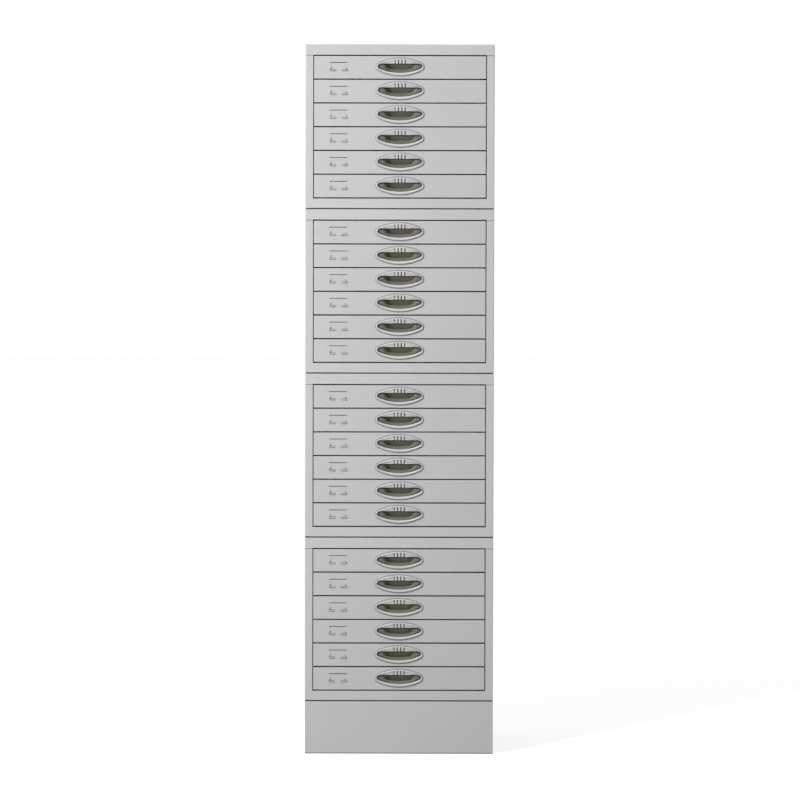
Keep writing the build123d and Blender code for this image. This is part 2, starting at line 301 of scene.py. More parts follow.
def settled_dust():
    """Mask of faces that look up, with the uneven cover of fine dust."""
    tree, given = new_group("settled_dust", {"Vector": None, "Cover": 0.5}, ["Mask"])
    normal = add_node(tree, "ShaderNodeNewGeometry").outputs["Normal"]
    up = add_node(tree, "ShaderNodeSeparateXYZ", {0: normal}).outputs["Z"]
    facing = ramp(tree, up, 0.55, 0.95)
    drifts = ramp(tree, noise(tree, given["Vector"], 9.0, detail=6.0, roughness=0.65), 0.30, 0.75)
    cover = calculate(tree, "MULTIPLY", calculate(tree, "MULTIPLY", facing, drifts), given["Cover"])
    add_node(tree, "NodeGroupOutput", {"Mask": cover})
    return tree


def hand_marks():
    """Mask of the soft smears that hands leave, drawn out sideways."""
    tree, given = new_group("hand_marks", {"Vector": None, "Size": 30 * MM}, ["Mask"])
    stretched = add_node(
        tree, "ShaderNodeMapping", {"Vector": given["Vector"], "Scale": (0.45, 1.0, 1.0)}
    ).outputs[0]
    scale = calculate(tree, "DIVIDE", 1.0, given["Size"])
    smears = noise(tree, stretched, scale, detail=5.0, roughness=0.55)
    add_node(tree, "NodeGroupOutput", {"Mask": ramp(tree, smears, 0.45, 0.72)})
    return tree


def crevice_shade():
    """Mask for painted shade in narrow gaps and closed corners, from 0 where the surroundings are open.
    """
    sockets = {"Reach": 5 * MM, "Open": 0.55, "Closed": 0.15}
    tree, given = new_group("crevice_shade", sockets, ["Mask"])
    light = add_node(tree, "ShaderNodeAmbientOcclusion", {"Distance": given["Reach"]}, samples=8)
    mask = ramp(tree, light.outputs["AO"], given["Open"], given["Closed"])
    add_node(tree, "NodeGroupOutput", {"Mask": mask})
    return tree


EFFECTS = {}


def shared(build):
    """Node group of a shared effect, built the first time that it is asked for."""
    if build.__name__ not in EFFECTS:
        EFFECTS[build.__name__] = build()
    return EFFECTS[build.__name__]


# ---------------------------------------------------------------- materials


DUST = (0.50, 0.49, 0.46, 1.0)
CREVICE_SHADE_COLOUR = (0.012, 0.012, 0.011, 1.0)
DULL_ZINC = (0.43, 0.43, 0.42, 1.0)
FLOOR = (0.44, 0.44, 0.44, 1.0)
WHITE = (1.0, 1.0, 1.0, 1.0)

# How far the painted shade in crevices looks for nearby surfaces, and how open a place is where it
# starts and where it is full.
SHEET_CREVICES = (4.5 * MM, 0.95, 0.58)
PULL_CREVICES = (5.0 * MM, 0.88, 0.44)
CUP_CREVICES = (8.0 * MM, 0.96, 0.58)


def new_material(name):
    """Material with nothing but its output node."""
    material = bpy.data.materials.new(name)
    material.use_nodes = True
    tree = material.node_tree
    tree.nodes.clear()
    return material, tree, add_node(tree, "ShaderNodeOutputMaterial")


def place_in_object(tree):
    """Coordinates of the surface in its own object, in metres."""
    return add_node(tree, "ShaderNodeTexCoord").outputs["Object"]


def powder_coat(
    name,
    colour,
    finish,
    roughness=0.42,
    rub=0.5,
    dust=0.5,
    smears=0.12,
    tint=None,
    crevices=SHEET_CREVICES,
):
    """Satin powder coat; tint, if given, returns the base colour's socket from the tree and vector."""
    material, tree, output = new_material(name)
    place = place_in_object(tree)
    peel = {"Vector": place, "Peel size": finish.peel_size, "Peel depth": finish.peel_depth}
    coat = place_group(tree, shared(coat_texture), peel)
    edges = place_group(tree, shared(edge_rub), {"Vector": place, "Reach": 1.2 * MM})["Mask"]
    dusty = place_group(tree, shared(settled_dust), {"Vector": place, "Cover": dust})["Mask"]
    marks = place_group(tree, shared(hand_marks), {"Vector": place, "Size": 60 * MM})["Mask"]
    shade = dict(zip(("Reach", "Open", "Closed"), crevices))
    shaded = place_group(tree, shared(crevice_shade), shade)["Mask"]

    darker = opaque(colour, 0.93)
    if tint:
        base = tint(tree, place)
    else:
        clouds = ramp(tree, coat["Clouds"], 0.35, 0.70, 0.0, 0.30)
        base = mix_colour(tree, clouds, opaque(colour), darker)
    base = mix_colour(tree, calculate(tree, "MULTIPLY", coat["Specks"], 0.25), base, darker)
    base = mix_colour(tree, calculate(tree, "MULTIPLY", edges, rub), base, opaque(colour, 1.12))
    base = mix_colour(tree, dusty, base, DUST)
    # Painted shade: the base colour goes nearly black in narrow gaps and closed corners, found by
    # occlusion.
    base = mix_colour(tree, calculate(tree, "MULTIPLY", shaded, 0.94), base, CREVICE_SHADE_COLOUR)

    rough = calculate(tree, "ADD", roughness, calculate(tree, "MULTIPLY", marks, smears))
    rough = calculate(tree, "SUBTRACT", rough, calculate(tree, "MULTIPLY", edges, 0.12))
    rough = calculate(tree, "ADD", rough, calculate(tree, "MULTIPLY", dusty, 0.4))
    bump = add_node(tree, "ShaderNodeBump", {"Height": coat["Height"], "Distance": 1.0})
    surface = {"Base Color": base, "Roughness": rough, "Normal": bump.outputs[0]}
    shader = add_node(tree, "ShaderNodeBsdfPrincipled", surface)
    tree.links.new(shader.outputs[0], output.inputs["Surface"])
    return material


def casing_coat(finish):
    """Coat that the casings, back panels and plinth share."""
    name = "casing_powder_coat_finish"
    return bpy.data.materials.get(name) or powder_coat(name, finish.casing_colour, finish, dust=0.55)


def drawer_coat(finish):
    """Coat of the drawer fronts, trays and dividers."""
    return powder_coat("drawer_powder_coat_finish", finish.drawer_colour, finish, smears=0.16)


def pull_coat(finish):
    """Smoother paint of the pulls, more rubbed on its edges by fingers."""
    return powder_coat(
        "pull_paint_finish",
        finish.pull_colour,
        finish,
        roughness=0.36,
        rub=0.8,
        dust=0.4,
        # Stronger painted shade in the crevices round the pull.
        crevices=PULL_CREVICES,
    )


def cup_coat_and_painted_shade(finish):
    """Dull darker coat in the cavity: partly its own olive primer, partly painted shade. Olive in the
    middle, greyer and darker towards its ends as painted shade.
    """

    def tint(tree, place):
        across = add_node(tree, "ShaderNodeSeparateXYZ", {0: place}).outputs["X"]
        # Painted shade: the colour turns darker towards the cavity's ends.
        ends = ramp(tree, calculate(tree, "ABSOLUTE", across), 32 * MM, 44 * MM)
        return mix_colour(tree, ends, opaque(finish.cup_colour), opaque(finish.cup_end_shade_colour))

    return powder_coat(
        "pull_cup_coat_and_painted_shade",
        finish.cup_colour,
        finish,
        roughness=0.55,
        rub=0.1,
        dust=0.1,
        tint=tint,
        # Strongest painted shade in the cup's crevices.
        crevices=CUP_CREVICES,
    )


def runner_zinc(finish):
    """Zinc plating with its spangle, drawn lines along the strip and dull patches."""
    material, tree, output = new_material("runner_zinc_finish")
    vector = place_in_object(tree)
    flakes = add_node(tree, "ShaderNodeTexVoronoi", {"Vector": vector, "Scale": 160.0})
    spangle = add_node(tree, "ShaderNodeSeparateColor", {0: flakes.outputs["Color"]}).outputs[0]
    along = add_node(tree, "ShaderNodeMapping", {"Vector": vector, "Scale": (1.0, 0.02, 1.0)}).outputs[0]
    lines = noise(tree, along, 2600.0, detail=1.0)
    dull = ramp(tree, noise(tree, vector, 14.0, detail=5.0, roughness=0.6), 0.40, 0.70)
    bright, shade = opaque(finish.zinc_colour), opaque(finish.zinc_colour, 0.72)
    base = mix_colour(tree, calculate(tree, "MULTIPLY", spangle, 0.55), bright, shade)
    base = mix_colour(tree, calculate(tree, "MULTIPLY", dull, 0.5), base, DULL_ZINC)
    flake_rough = ramp(tree, spangle, 0.0, 1.0, 0.30, 0.44)
    rough = calculate(tree, "ADD", flake_rough, calculate(tree, "MULTIPLY", dull, 0.2))
    height = calculate(tree, "MULTIPLY", lines, 0.012 * MM)
    bump = add_node(tree, "ShaderNodeBump", {"Height": height, "Distance": 1.0})
    surface = {"Base Color": base, "Roughness": rough, "Normal": bump.outputs[0], "Metallic": 0.9}
    shader = add_node(tree, "ShaderNodeBsdfPrincipled", surface)
    tree.links.new(shader.outputs[0], output.inputs["Surface"])
    return material


def white_to_camera(tree, surface, whiteness, output):
    """Adds a glow that only the camera, reflections and glass see, so that a surface reads as white."""
    path = add_node(tree, "ShaderNodeLightPath").outputs
    seen = calculate(tree, "MAXIMUM", path["Is Camera Ray"], path["Is Glossy Ray"])
    seen = calculate(tree, "MAXIMUM", seen, path["Is Transmission Ray"])
    glow = add_node(tree, "ShaderNodeEmission", {"Color": WHITE, "Strength": whiteness})
    lit = add_node(tree, "ShaderNodeAddShader", {0: surface, 1: glow.outputs[0]}).outputs[0]
    mixed = add_node(tree, "ShaderNodeMixShader", {0: seen, 1: surface, 2: lit}).outputs[0]
    tree.links.new(mixed, output.inputs["Surface"])


def floor_white():
    """Plain matt floor that reads as white and keeps the cabinet's shadow."""
    material, tree, output = new_material("studio_floor")
    surface = {"Base Color": FLOOR, "Roughness": 0.9, "Specular IOR Level": 0.0}
    shader = add_node(tree, "ShaderNodeBsdfPrincipled", surface)
    white_to_camera(tree, shader.outputs[0], 0.78, output)
    return material


# ---------------------------------------------------------------- sheet edges of the CAD nodes


def within(tree, value, low, high):
    """Whether a value lies between two others."""
    over = add_node(tree, "FunctionNodeCompare", {0: value, 1: low}, operation="GREATER_THAN")
    under = add_node(tree, "FunctionNodeCompare", {0: value, 1: high}, operation="LESS_THAN")
    return both(tree, "AND", over.outputs[0], under.outputs[0])


def both(tree, operation, first, second):
    """Two conditions joined."""
    node = add_node(tree, "FunctionNodeBooleanMath", {0: first, 1: second}, operation=operation)
    return node.outputs[0]


def bend_marker():
    """Geometry nodes that mark a front's outline, and its corners to a depth, to be bent."""
    tree = bpy.data.node_groups.new("bend_marker", "GeometryNodeTree")
    tree.interface.new_socket("Geometry", in_out="INPUT", socket_type="NodeSocketGeometry")
    for name in ("Low", "High"):
        tree.interface.new_socket(name, in_out="INPUT", socket_type="NodeSocketVector")
    tree.interface.new_socket("Geometry", in_out="OUTPUT", socket_type="NodeSocketGeometry")
    given = add_node(tree, "NodeGroupInput").outputs
    near = 0.05 * MM
    ends = add_node(tree, "GeometryNodeInputMeshEdgeVertices").outputs
    total = add_node(
        tree, "ShaderNodeVectorMath", {0: ends["Position 1"], 1: ends["Position 2"]}, operation="ADD"
    ).outputs[0]
    middle = add_node(tree, "ShaderNodeVectorMath", {0: total}, operation="SCALE")
    middle.inputs["Scale"].default_value = 0.5
    point = add_node(tree, "ShaderNodeSeparateXYZ", {0: middle.outputs[0]}).outputs
    low = add_node(tree, "ShaderNodeSeparateXYZ", {0: given["Low"]}).outputs
    high = add_node(tree, "ShaderNodeSeparateXYZ", {0: given["High"]}).outputs

    def on(axis, level):
        return within(tree, calculate(tree, "SUBTRACT", point[axis], level[axis]), -near, near)

    def inside(axis):
        start = calculate(tree, "SUBTRACT", low[axis], near)
        end = calculate(tree, "ADD", high[axis], near)
        return within(tree, point[axis], start, end)

    side = both(tree, "OR", on("X", low), on("X", high))
    rail = both(tree, "OR", on("Z", low), on("Z", high))
    side_edge = both(tree, "AND", side, inside("Z"))
    rail_edge = both(tree, "AND", rail, inside("X"))
    outline = both(tree, "AND", on("Y", low), both(tree, "OR", side_edge, rail_edge))
    corner = both(tree, "AND", both(tree, "AND", side, rail), inside("Y"))
    marked = add_node(
        tree,
        "GeometryNodeStoreNamedAttribute",
        {"Geometry": given["Geometry"], "Selection": both(tree, "OR", outline, corner)},
        data_type="FLOAT",
        domain="EDGE",
    )
    marked.inputs["Name"].default_value = "bevel_weight_edge"
    marked.inputs["Value"].default_value = 1.0
    smooth = add_node(tree, "GeometryNodeSetShadeSmooth", {"Geometry": marked.outputs[0]})
    add_node(tree, "NodeGroupOutput", {"Geometry": smooth.outputs[0]})
    return tree


def round_sheet_edges(node, low, high, bend, edge_break):
    """Modifiers that bend a node's marked edges and break the others; its mesh stays as it is."""
    weld = node.modifiers.new("weld", "WELD")
    weld.merge_threshold = 0.001 * MM
    flat = node.modifiers.new("join_flat_faces", "DECIMATE")
    flat.decimate_type = "DISSOLVE"
    flat.angle_limit = math.radians(0.5)
    marker = node.modifiers.new("mark_bends", "NODES")
    marker.node_group = shared(bend_marker)
    sockets = [s for s in marker.node_group.interface.items_tree if s.in_out == "INPUT"]
    for socket, corner in zip(sockets[1:], (low, high)):
        marker[socket.identifier] = tuple(corner)
    bends = node.modifiers.new("sheet_bends", "BEVEL")
    bends.limit_method = "WEIGHT"
    bends.width = bend
    bends.segments = 4
    breaks = node.modifiers.new("edge_breaks", "BEVEL")
    breaks.limit_method = "ANGLE"
    breaks.angle_limit = math.radians(40)
    breaks.width = edge_break
    breaks.segments = 2
    even = node.modifiers.new("even_shading", "WEIGHTED_NORMAL")
    even.keep_sharp = False


def finish_node(name, material):
    """Gives a CAD node its material and returns it."""
    node = frame["nodes"][name]
    if not node.material_slots:
        raise RuntimeError(f"{name} has no material slot to finish")
    for slot in node.material_slots:
        slot.material = material
    return node


def finish_plain_sheets(ending, material, finish):
    """Coats the nodes with a given ending and breaks their edges, without bends."""
    for name in nodes_ending(ending):
        low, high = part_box(name)
        round_sheet_edges(finish_node(name, material), low, high, finish.edge_break, finish.edge_break)


def nodes_ending(ending):
    """Names of the frame's nodes with a given ending; an empty list is an error."""
    names = sorted(name for name in frame["nodes"] if name.endswith(ending))
    if not names:
        raise RuntimeError(f"the frame has no node that ends with {ending}")
    return names


# ---------------------------------------------------------------- pull outlines


class PullOutline:
    """Curves of the pull about the middle of its lens: X to the right, Z up, in metres."""

    def __init__(self, shape):
        self.shape = shape
        self.half_width = (PULL_HIGH.x - PULL_LOW.x) / 2
        self.half_height = (PULL_HIGH.z - PULL_LOW.z) / 2
        self.proud = FACE_Y - PULL_LOW.y
        self.depth = PULL_HIGH.y - FACE_Y
        end = shape.end_radius
        self.end_x = self.half_width - end
        drop = self.half_height - end
        self.reach = (self.end_x**2 + drop**2) / (2 * drop)
        self.centre = self.reach - drop
        self.cavity_top = self.half_height - shape.hood_height
        self.cavity_half = self.half_width - shape.cavity_margin
        self.corner_x = self.cavity_half - shape.corner_radius
        self.corner_z = self.cavity_top - shape.corner_radius
        bottom = shape.cavity_rim - self.half_height
        rise = self.corner_z - bottom
        numerator = self.corner_x**2 + rise**2 - shape.corner_radius**2
        self.cavity_radius = numerator / (2 * (rise - shape.corner_radius))
        self.cavity_centre = bottom + self.cavity_radius

    def lens(self, inset):
        """Half width, and the heights of the lens's upper and lower edge, drawn in by an inset."""
        radius = self.reach + self.shape.end_radius - inset
        end = self.shape.end_radius - inset
        touch = self.end_x * radius / self.reach

        def height(x):
            if abs(x) < touch:
                return math.sqrt(radius**2 - x**2) - self.centre
            return math.sqrt(max(0.0, end**2 - (abs(x) - self.end_x) ** 2))

        return self.half_width - inset, height, lambda x: -height(x)

    def cavity(self, grow):
        """The same for the cavity, grown all round."""
        corner = self.shape.corner_radius + grow
        radius = self.cavity_radius + grow
        away = self.cavity_radius - self.shape.corner_radius
        touch = self.corner_x * radius / away

        def corner_height(x):
            return math.sqrt(max(0.0, corner**2 - (abs(x) - self.corner_x) ** 2))

        def upper(x):
            if abs(x) < self.corner_x:
                return self.corner_z + corner
            return self.corner_z + corner_height(x)

        def lower(x):
            if abs(x) < touch:
                return self.cavity_centre - math.sqrt(radius**2 - x**2)
            return self.corner_z - corner_height(x)

        return self.cavity_half + grow, upper, lower

    def rounded(self, half_width, low, high, power):
        """The same for a rounded rectangle between two heights."""
        middle, half = (low + high) / 2, (high - low) / 2

        def height(x):
            share = min(1.0, abs(x) / half_width)
            return half * (1 - share**power) ** (1 / power)

        return half_width, lambda x: middle + height(x), lambda x: middle - height(x)


# Columns across the lower half of the pull, and places across a groove as shares of its width.
COLUMNS = 30
GROOVE_COLUMNS = (-0.5, -0.36, -0.2, 0.0, 0.2, 0.36, 0.5)


def smooth_step(value, low, high):
    """0 below low, 1 above high and a smooth rise between them."""
    share = min(1.0, max(0.0, (value - low) / (high - low)))
    return share * share * (3 - 2 * share)


def groove_middle(shape, index):
    """Place of a finger groove across the pull."""
    return shape.groove_shift + (index - (shape.groove_count - 1) / 2) * shape.groove_pitch


def pull_columns(shape, outline):
    """Places across the pull, as shares of its half width: closer at the ends and the grooves."""
    zone = (shape.groove_count / 2) * shape.groove_pitch + abs(shape.groove_shift)
    spread = [math.sin(math.pi * (step / COLUMNS - 0.5)) for step in range(COLUMNS + 1)]
    upper = [share for share in spread if abs(share) * outline.half_width > zone]
    for index in range(shape.groove_count):
        middle = groove_middle(shape, index)
        for offset in GROOVE_COLUMNS:
            upper.append((middle + offset * shape.groove_width) / outline.half_width)
        if index < shape.groove_count - 1:
            upper.append((middle + shape.groove_pitch / 2) / outline.half_width)
    columns = [(share, True) for share in sorted(upper)]
    columns += [(share, False) for share in reversed(spread[1:-1])]
    return columns


def groove_profile(shape, x):
    """Share of a groove's depth at x, and whether x is between the outermost grooves."""
    sunk = 0.0
    for index in range(shape.groove_count):
        middle = groove_middle(shape, index)
        away = abs(x - middle) / (shape.groove_width / 2)
        sunk = max(sunk, 1 - smooth_step(away, 0.35, 1.0))
    outermost = (shape.groove_count - 1) / 2 * shape.groove_pitch
    return sunk, abs(x - shape.groove_shift) < outermost


# Rings between the rounded outer edge and the cavity's lip, as parts of the way.
FRONT_RINGS = (0.0, 0.16, 0.30, 0.34, 0.38, 0.44, 0.52, 0.64, 0.76, 0.84, 0.89, 0.93, 0.97, 1.0)
EDGE_STEPS, LIP_STEPS = 6, 4

# Gap that keeps the cup's shallow ends clear of the drawer front, how far the cup's darker coat, partly
# painted shade, reaches up the cavity's wall, and how wide the bowl's slopes are at its ends.
SHEET_CLEARANCE = 0.15 * MM
WALL_INSET, WALL_PROUD = 0.1 * MM, 1.3 * MM
BOWL_SLOPE = 15 * MM

# Inset and rise of the rings round the cup's outside, from its bottom, and how square its outline is.
CUP_RINGS = ((3.0 * MM, 0.0), (1.0 * MM, 0.4 * MM), (0.0, 1.6 * MM), (0.0, 9.0 * MM))
CUP_SQUARENESS = 5.0

# Height of the bowl's axis, and the lines that run to it from the cavity's edge: for each ring the part
# of the width that it loses, and for the upper and the lower half the parts of the way inwards, of the
# depth and of the undercut.
BOWL_AXIS = -1.5 * MM
CUP_LINES = (
    (0.00, (0.00, 0.00, 0.00), (0.00, 0.00, 0.00)),
    (0.01, (0.00, 0.05, 0.00), (0.03, 0.03, 0.00)),
    (0.03, (0.00, 0.12, 0.60), (0.07, 0.08, 0.00)),
    (0.06, (0.00, 0.22, 0.95), (0.12, 0.16, 0.00)),
    (0.10, (0.00, 0.38, 1.00), (0.18, 0.28, 0.00)),
    (0.15, (0.02, 0.55, 1.00), (0.26, 0.44, 0.00)),
    (0.21, (0.08, 0.70, 0.95), (0.36, 0.60, 0.00)),
    (0.28, (0.18, 0.83, 0.80), (0.48, 0.76, 0.00)),
    (0.36, (0.34, 0.92, 0.55), (0.60, 0.88, 0.00)),
    (0.44, (0.52, 0.98, 0.30), (0.72, 0.96, 0.00)),
    (0.53, (0.72, 1.00, 0.10), (0.84, 1.00, 0.00)),
)


class PullMesh:
    """Builds the pull ring by ring, from its edge on the drawer front to the bottom of the cup."""

    def __init__(self, shape):
        self.shape = shape
        self.outline = PullOutline(shape)
        self.columns = pull_columns(shape, self.outline)
        self.rings = []
        self.materials = []

    def ring(self, curve, depth, material=0):
        """Adds a closed ring; depth is a number or a function of the share, x, z and half."""
        half_width, upper, lower = curve
        points = []
        for share, above in self.columns:
            x = share * half_width
            z = upper(x) if above else lower(x)
            points.append(Vector((x, depth(share, above) if callable(depth) else depth, z)))
        self.rings.append(points)
        self.materials.append(material)

    def between(self, first, second, part, depth, material=0):
        """Adds a ring part of the way from one curve to another; part and depth can be functions."""
        points = []
        for share, above in self.columns:
            ends = []
            for half_width, upper, lower in (first, second):
                x = share * half_width
                ends.append(Vector((x, 0.0, upper(x) if above else lower(x))))
            point = ends[0].lerp(ends[1], part(share) if callable(part) else part)
            point.y = depth(share, above, point) if callable(depth) else depth
            points.append(point)
        self.rings.append(points)
        self.materials.append(material)

    def hood_level(self, part):
        """Depth function of the hood and rim at a part of the way from the lens's edge to the cavity."""
        shape = self.shape
        front = -self.outline.proud
        span = shape.hood_height - shape.bevel - shape.lip_radius
        crease = (shape.crease - shape.bevel) / span
        groove_start = 1 - (shape.groove_height - shape.lip_radius) / span

        def depth(share, above, point=None):
            if not above:
                return front + shape.rim_dish * smooth_step(part, 0.0, 1.0)
            x = share * self.outline.half_width
            # The hood sinks behind its crease, less towards its ends, and comes back up at the lip.
            fade = smooth_step(1 - abs(share), 0.02, 0.42)
            lip = 0.75 * smooth_step(part, 0.86, 0.97)
            sink = smooth_step(part, crease, crease + 0.10) * (1 - lip)
            sunk, among = groove_profile(shape, x)
            level = 0.0 if among else shape.hood_sink * sink * fade
            cut = shape.groove_depth * sunk * smooth_step(part, groove_start - 0.04, groove_start + 0.10)
            return front + max(level, cut)

        return depth

    def front(self):
        """Rounded outer edge, rim and hood, the cavity's lip and its wall."""
        shape, outline = self.shape, self.outline
        for step in range(EDGE_STEPS):
            turn = math.pi / 2 * step / EDGE_STEPS
            self.ring(outline.lens(shape.bevel * (1 - math.cos(turn))), -outline.proud * math.sin(turn))
        edge = outline.lens(shape.bevel)
        mouth = outline.cavity(shape.lip_radius)
        for part in FRONT_RINGS:
            self.between(edge, mouth, part, self.hood_level(part))
        level = self.hood_level(1.0)
        for step in range(1, LIP_STEPS + 1):
            turn = math.pi / 2 * step / LIP_STEPS
            grow = shape.lip_radius * (1 - math.sin(turn))
            drop = shape.lip_radius * (1 - math.cos(turn))
            self.ring(outline.cavity(grow), lambda share, above, d=drop: level(share, above) + d)

    def shadow_gap(self):
        """Narrow gap round the cup, wider at its ends, where it stops in front of the drawer front."""
        shape, outline = self.shape, self.outline
        outer, inner = outline.cavity(-WALL_INSET), outline.cavity(-shape.gap_ends)
        bowl_half = shape.cup_width / 2

        def near_edge(share):
            return 0.0

        def far_edge(share):
            widening = smooth_step(abs(share), 0.3, 0.9)
            width = shape.gap_middle + (shape.gap_ends - shape.gap_middle) * widening
            return width / shape.gap_ends

        def bottom(share, above, point):
            middle = smooth_step(bowl_half - abs(point.x), 3 * MM, 9 * MM)
            return (shape.gap_depth + SHEET_CLEARANCE) * middle - SHEET_CLEARANCE

        # The gap's walls take the cup's darker coat, which is partly painted shade.
        self.between(outer, inner, near_edge, -WALL_PROUD, material=1)
        self.between(outer, inner, near_edge, bottom, material=1)
        self.between(outer, inner, far_edge, bottom, material=1)
        self.between(outer, inner, far_edge, -shape.shallow_proud, material=1)

    def cup(self):
        """Shallow ends of the cavity and the deep bowl between them, undercut behind the hood."""
        shape = self.shape
        floor = self.outline.depth - shape.cup_floor
        edge_ring = self.rings[-1]
        for shrink, above_line, below_line in CUP_LINES:
            points = []
            for (start, _, edge), (_, above) in zip(edge_ring, self.columns):
                inward, deep, under = above_line if above else below_line
                x = start * (1 - shrink)
                bowl = smooth_step(shape.cup_width / 2 - abs(x), 0.0, BOWL_SLOPE)
                y = (floor + shape.shallow_proud) * deep * bowl - shape.shallow_proud
                z = edge + (BOWL_AXIS - edge) * inward + shape.undercut * under * bowl
                points.append(Vector((x, y, z)))
            self.rings.append(points)
            self.materials.append(1)

    def back(self):
        """Outside of the cup, from its bottom to the drawer front."""
        shape, outline = self.shape, self.outline
        half = shape.cup_width / 2
        high = outline.half_height - shape.cup_clearance
        for inset, rise in CUP_RINGS:
            curve = outline.rounded(half - inset, inset - high, high - inset, CUP_SQUARENESS)
            self.ring(curve, outline.depth - rise)
        self.ring(outline.rounded(half, -high, high, CUP_SQUARENESS), 0.0)

    def mesh(self, name):
        """Closed mesh through all the rings, in order from the cup's bottom round to its outside."""
        self.front()
        self.shadow_gap()
        self.cup()
        inner = len(self.rings)
        self.back()
        count = len(self.columns)
        points = [point for ring in self.rings for point in ring]
        faces, materials = [], []

        def strip(first, second, material):
            for column in range(count):
                following = (column + 1) % count
                faces.append(
                    (
                        first * count + column,
                        first * count + following,
                        second * count + following,
                        second * count + column,
                    )
                )
                materials.append(material)

        for index in range(inner - 1):
            strip(index, index + 1, self.materials[index + 1])
        for index in range(inner, len(self.rings) - 1):
            strip(index, index + 1, 0)
        strip(len(self.rings) - 1, 0, 0)
        faces.append(tuple((inner - 1) * count + column for column in range(count)))
        materials.append(1)
        faces.append(tuple(inner * count + column for column in reversed(range(count))))
        materials.append(0)
        mesh = bpy.data.meshes.new(name)
        mesh.from_pydata(points, [], faces)
        mesh.polygons.foreach_set("material_index", materials)
        mesh.shade_smooth()
        mesh.validate()
        return mesh


# ---------------------------------------------------------------- operators


class CABINET_OT_casings(bpy.types.Operator):
    """Rounds the edges of the module casings and coats them"""

    bl_idname = "slide_cabinet.finish_casings"
    bl_label = "Finish casings"

    def execute(self, context):
        finish = context.scene.cabinet_finish
        coat = casing_coat(finish)
        for name in nodes_ending("_casing"):
            node = finish_node(name, coat)
            low, high = opening_of(name)
            round_sheet_edges(node, low, high, finish.opening_bend, finish.edge_break)
        return {"FINISHED"}


def opening_of(casing):
    """Front opening of a casing, from the drawers and the gaps round them, as a flat box."""
    module = casing[: -len("_casing")].replace("module", "drawer")
    boxes = [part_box(f"{body}_box") for body in DRAWERS if body.startswith(f"{module}_")]
    panel_low, panel_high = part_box(casing.replace("_casing", "_back_panel"))
    clearance = 0.3 * MM
    low = Vector((panel_low.x - clearance, FACE_Y, panel_low.z - clearance))
    high = Vector((panel_high.x + clearance, FACE_Y, panel_high.z + clearance))
    if not boxes or min(b[0].z for b in boxes) < low.z or max(b[1].z for b in boxes) > high.z:
        raise RuntimeError(f"the drawers of {casing} don't fit its opening")
    return low, high


class CABINET_OT_back_panels(bpy.types.Operator):
    """Breaks the edges of the back panels and coats them"""

    bl_idname = "slide_cabinet.finish_back_panels"
    bl_label = "Finish back panels"

    def execute(self, context):
        finish = context.scene.cabinet_finish
        finish_plain_sheets("_back_panel", casing_coat(finish), finish)
        return {"FINISHED"}


class CABINET_OT_plinth(bpy.types.Operator):
    """Breaks the edges of the plinth and coats it"""

    bl_idname = "slide_cabinet.finish_plinth"
    bl_label = "Finish plinth"

    def execute(self, context):
        finish = context.scene.cabinet_finish
        finish_plain_sheets("plinth_base", casing_coat(finish), finish)
        return {"FINISHED"}


class CABINET_OT_runners(bpy.types.Operator):
    """Breaks the edges of the drawer runners and plates them"""

    bl_idname = "slide_cabinet.finish_runners"
    bl_label = "Finish runners"

    def execute(self, context):
        finish = context.scene.cabinet_finish
        finish_plain_sheets("_runners", runner_zinc(finish), finish)
        return {"FINISHED"}


class CABINET_OT_drawers(bpy.types.Operator):
    """Bends the edges of the drawer fronts, breaks those of the trays and coats them"""

    bl_idname = "slide_cabinet.finish_drawers"
    bl_label = "Finish drawers"

    def execute(self, context):
        finish = context.scene.cabinet_finish
        coat = drawer_coat(finish)
        for body in DRAWERS:
            node = finish_node(f"{body}_box", coat)
            low, high = front_of(body)
            round_sheet_edges(node, low, high, finish.front_bend, finish.edge_break)
        return {"FINISHED"}


def front_of(body):
    """Box of a drawer's front, whose outline is the widest part of its node near its face."""
    name = f"{body}_box"
    points = [vertex.co for vertex in frame["nodes"][name].data.vertices]
    on_face = [point for point in points if abs(point.y - FACE_Y) < 0.01 * MM]
    if not on_face:
        raise RuntimeError(f"{name} has nothing on the face of the cabinet")
    low = Vector((min(p.x for p in on_face), FACE_Y, min(p.z for p in on_face)))
    high = Vector((max(p.x for p in on_face), FACE_Y, max(p.z for p in on_face)))
    edge = [p.y for p in points if abs(p.x - low.x) < 0.01 * MM and abs(p.z - low.z) < 0.01 * MM]
    high.y = max(edge)
    return low, high


class CABINET_OT_pulls(bpy.types.Operator):
    """Forms the recessed pulls and sets one in each drawer front"""

    bl_idname = "slide_cabinet.build_pulls"
    bl_label = "Build pulls"

    def execute(self, context):
        finish = context.scene.cabinet_finish
        mesh = PullMesh(context.scene.pull_shape).mesh("recessed_pull")
        mesh.materials.append(pull_coat(finish))
        mesh.materials.append(cup_coat_and_painted_shade(finish))
        for body in DRAWERS:
            low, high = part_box(f"{body}_pull")
            pull = bpy.data.objects.new(f"{body}_recessed_pull", mesh)
            pull.location = ((low.x + high.x) / 2, FACE_Y, (low.z + high.z) / 2)
            context.scene.collection.objects.link(pull)
            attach(pull, body)
            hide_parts(f"{body}_pull")
        return {"FINISHED"}


class CABINET_OT_stage(bpy.types.Operator):
    """Lays the floor, lights the cabinet and sets up the camera"""

    bl_idname = "slide_cabinet.build_stage"
    bl_label = "Build stage"

    def execute(self, context):
        studio = context.scene.cabinet_studio
        lay_floor(context.scene, studio)
        light_room(context.scene, studio)
        hang_lamps(context.scene, studio)
        set_camera(context.scene, studio)
        context.scene.view_settings.view_transform = "Standard"
        return {"FINISHED"}


def lay_floor(scene, studio):
    """Large flat floor under the cabinet."""
    half = studio.floor_size / 2
    corners = [(-half, -half, 0), (half, -half, 0), (half, half, 0), (-half, half, 0)]
    mesh = bpy.data.meshes.new("studio_floor")
    mesh.from_pydata(corners, [], [(0, 1, 2, 3)])
    mesh.materials.append(floor_white())
    floor = bpy.data.objects.new("studio_floor", mesh)
    scene.collection.objects.link(floor)


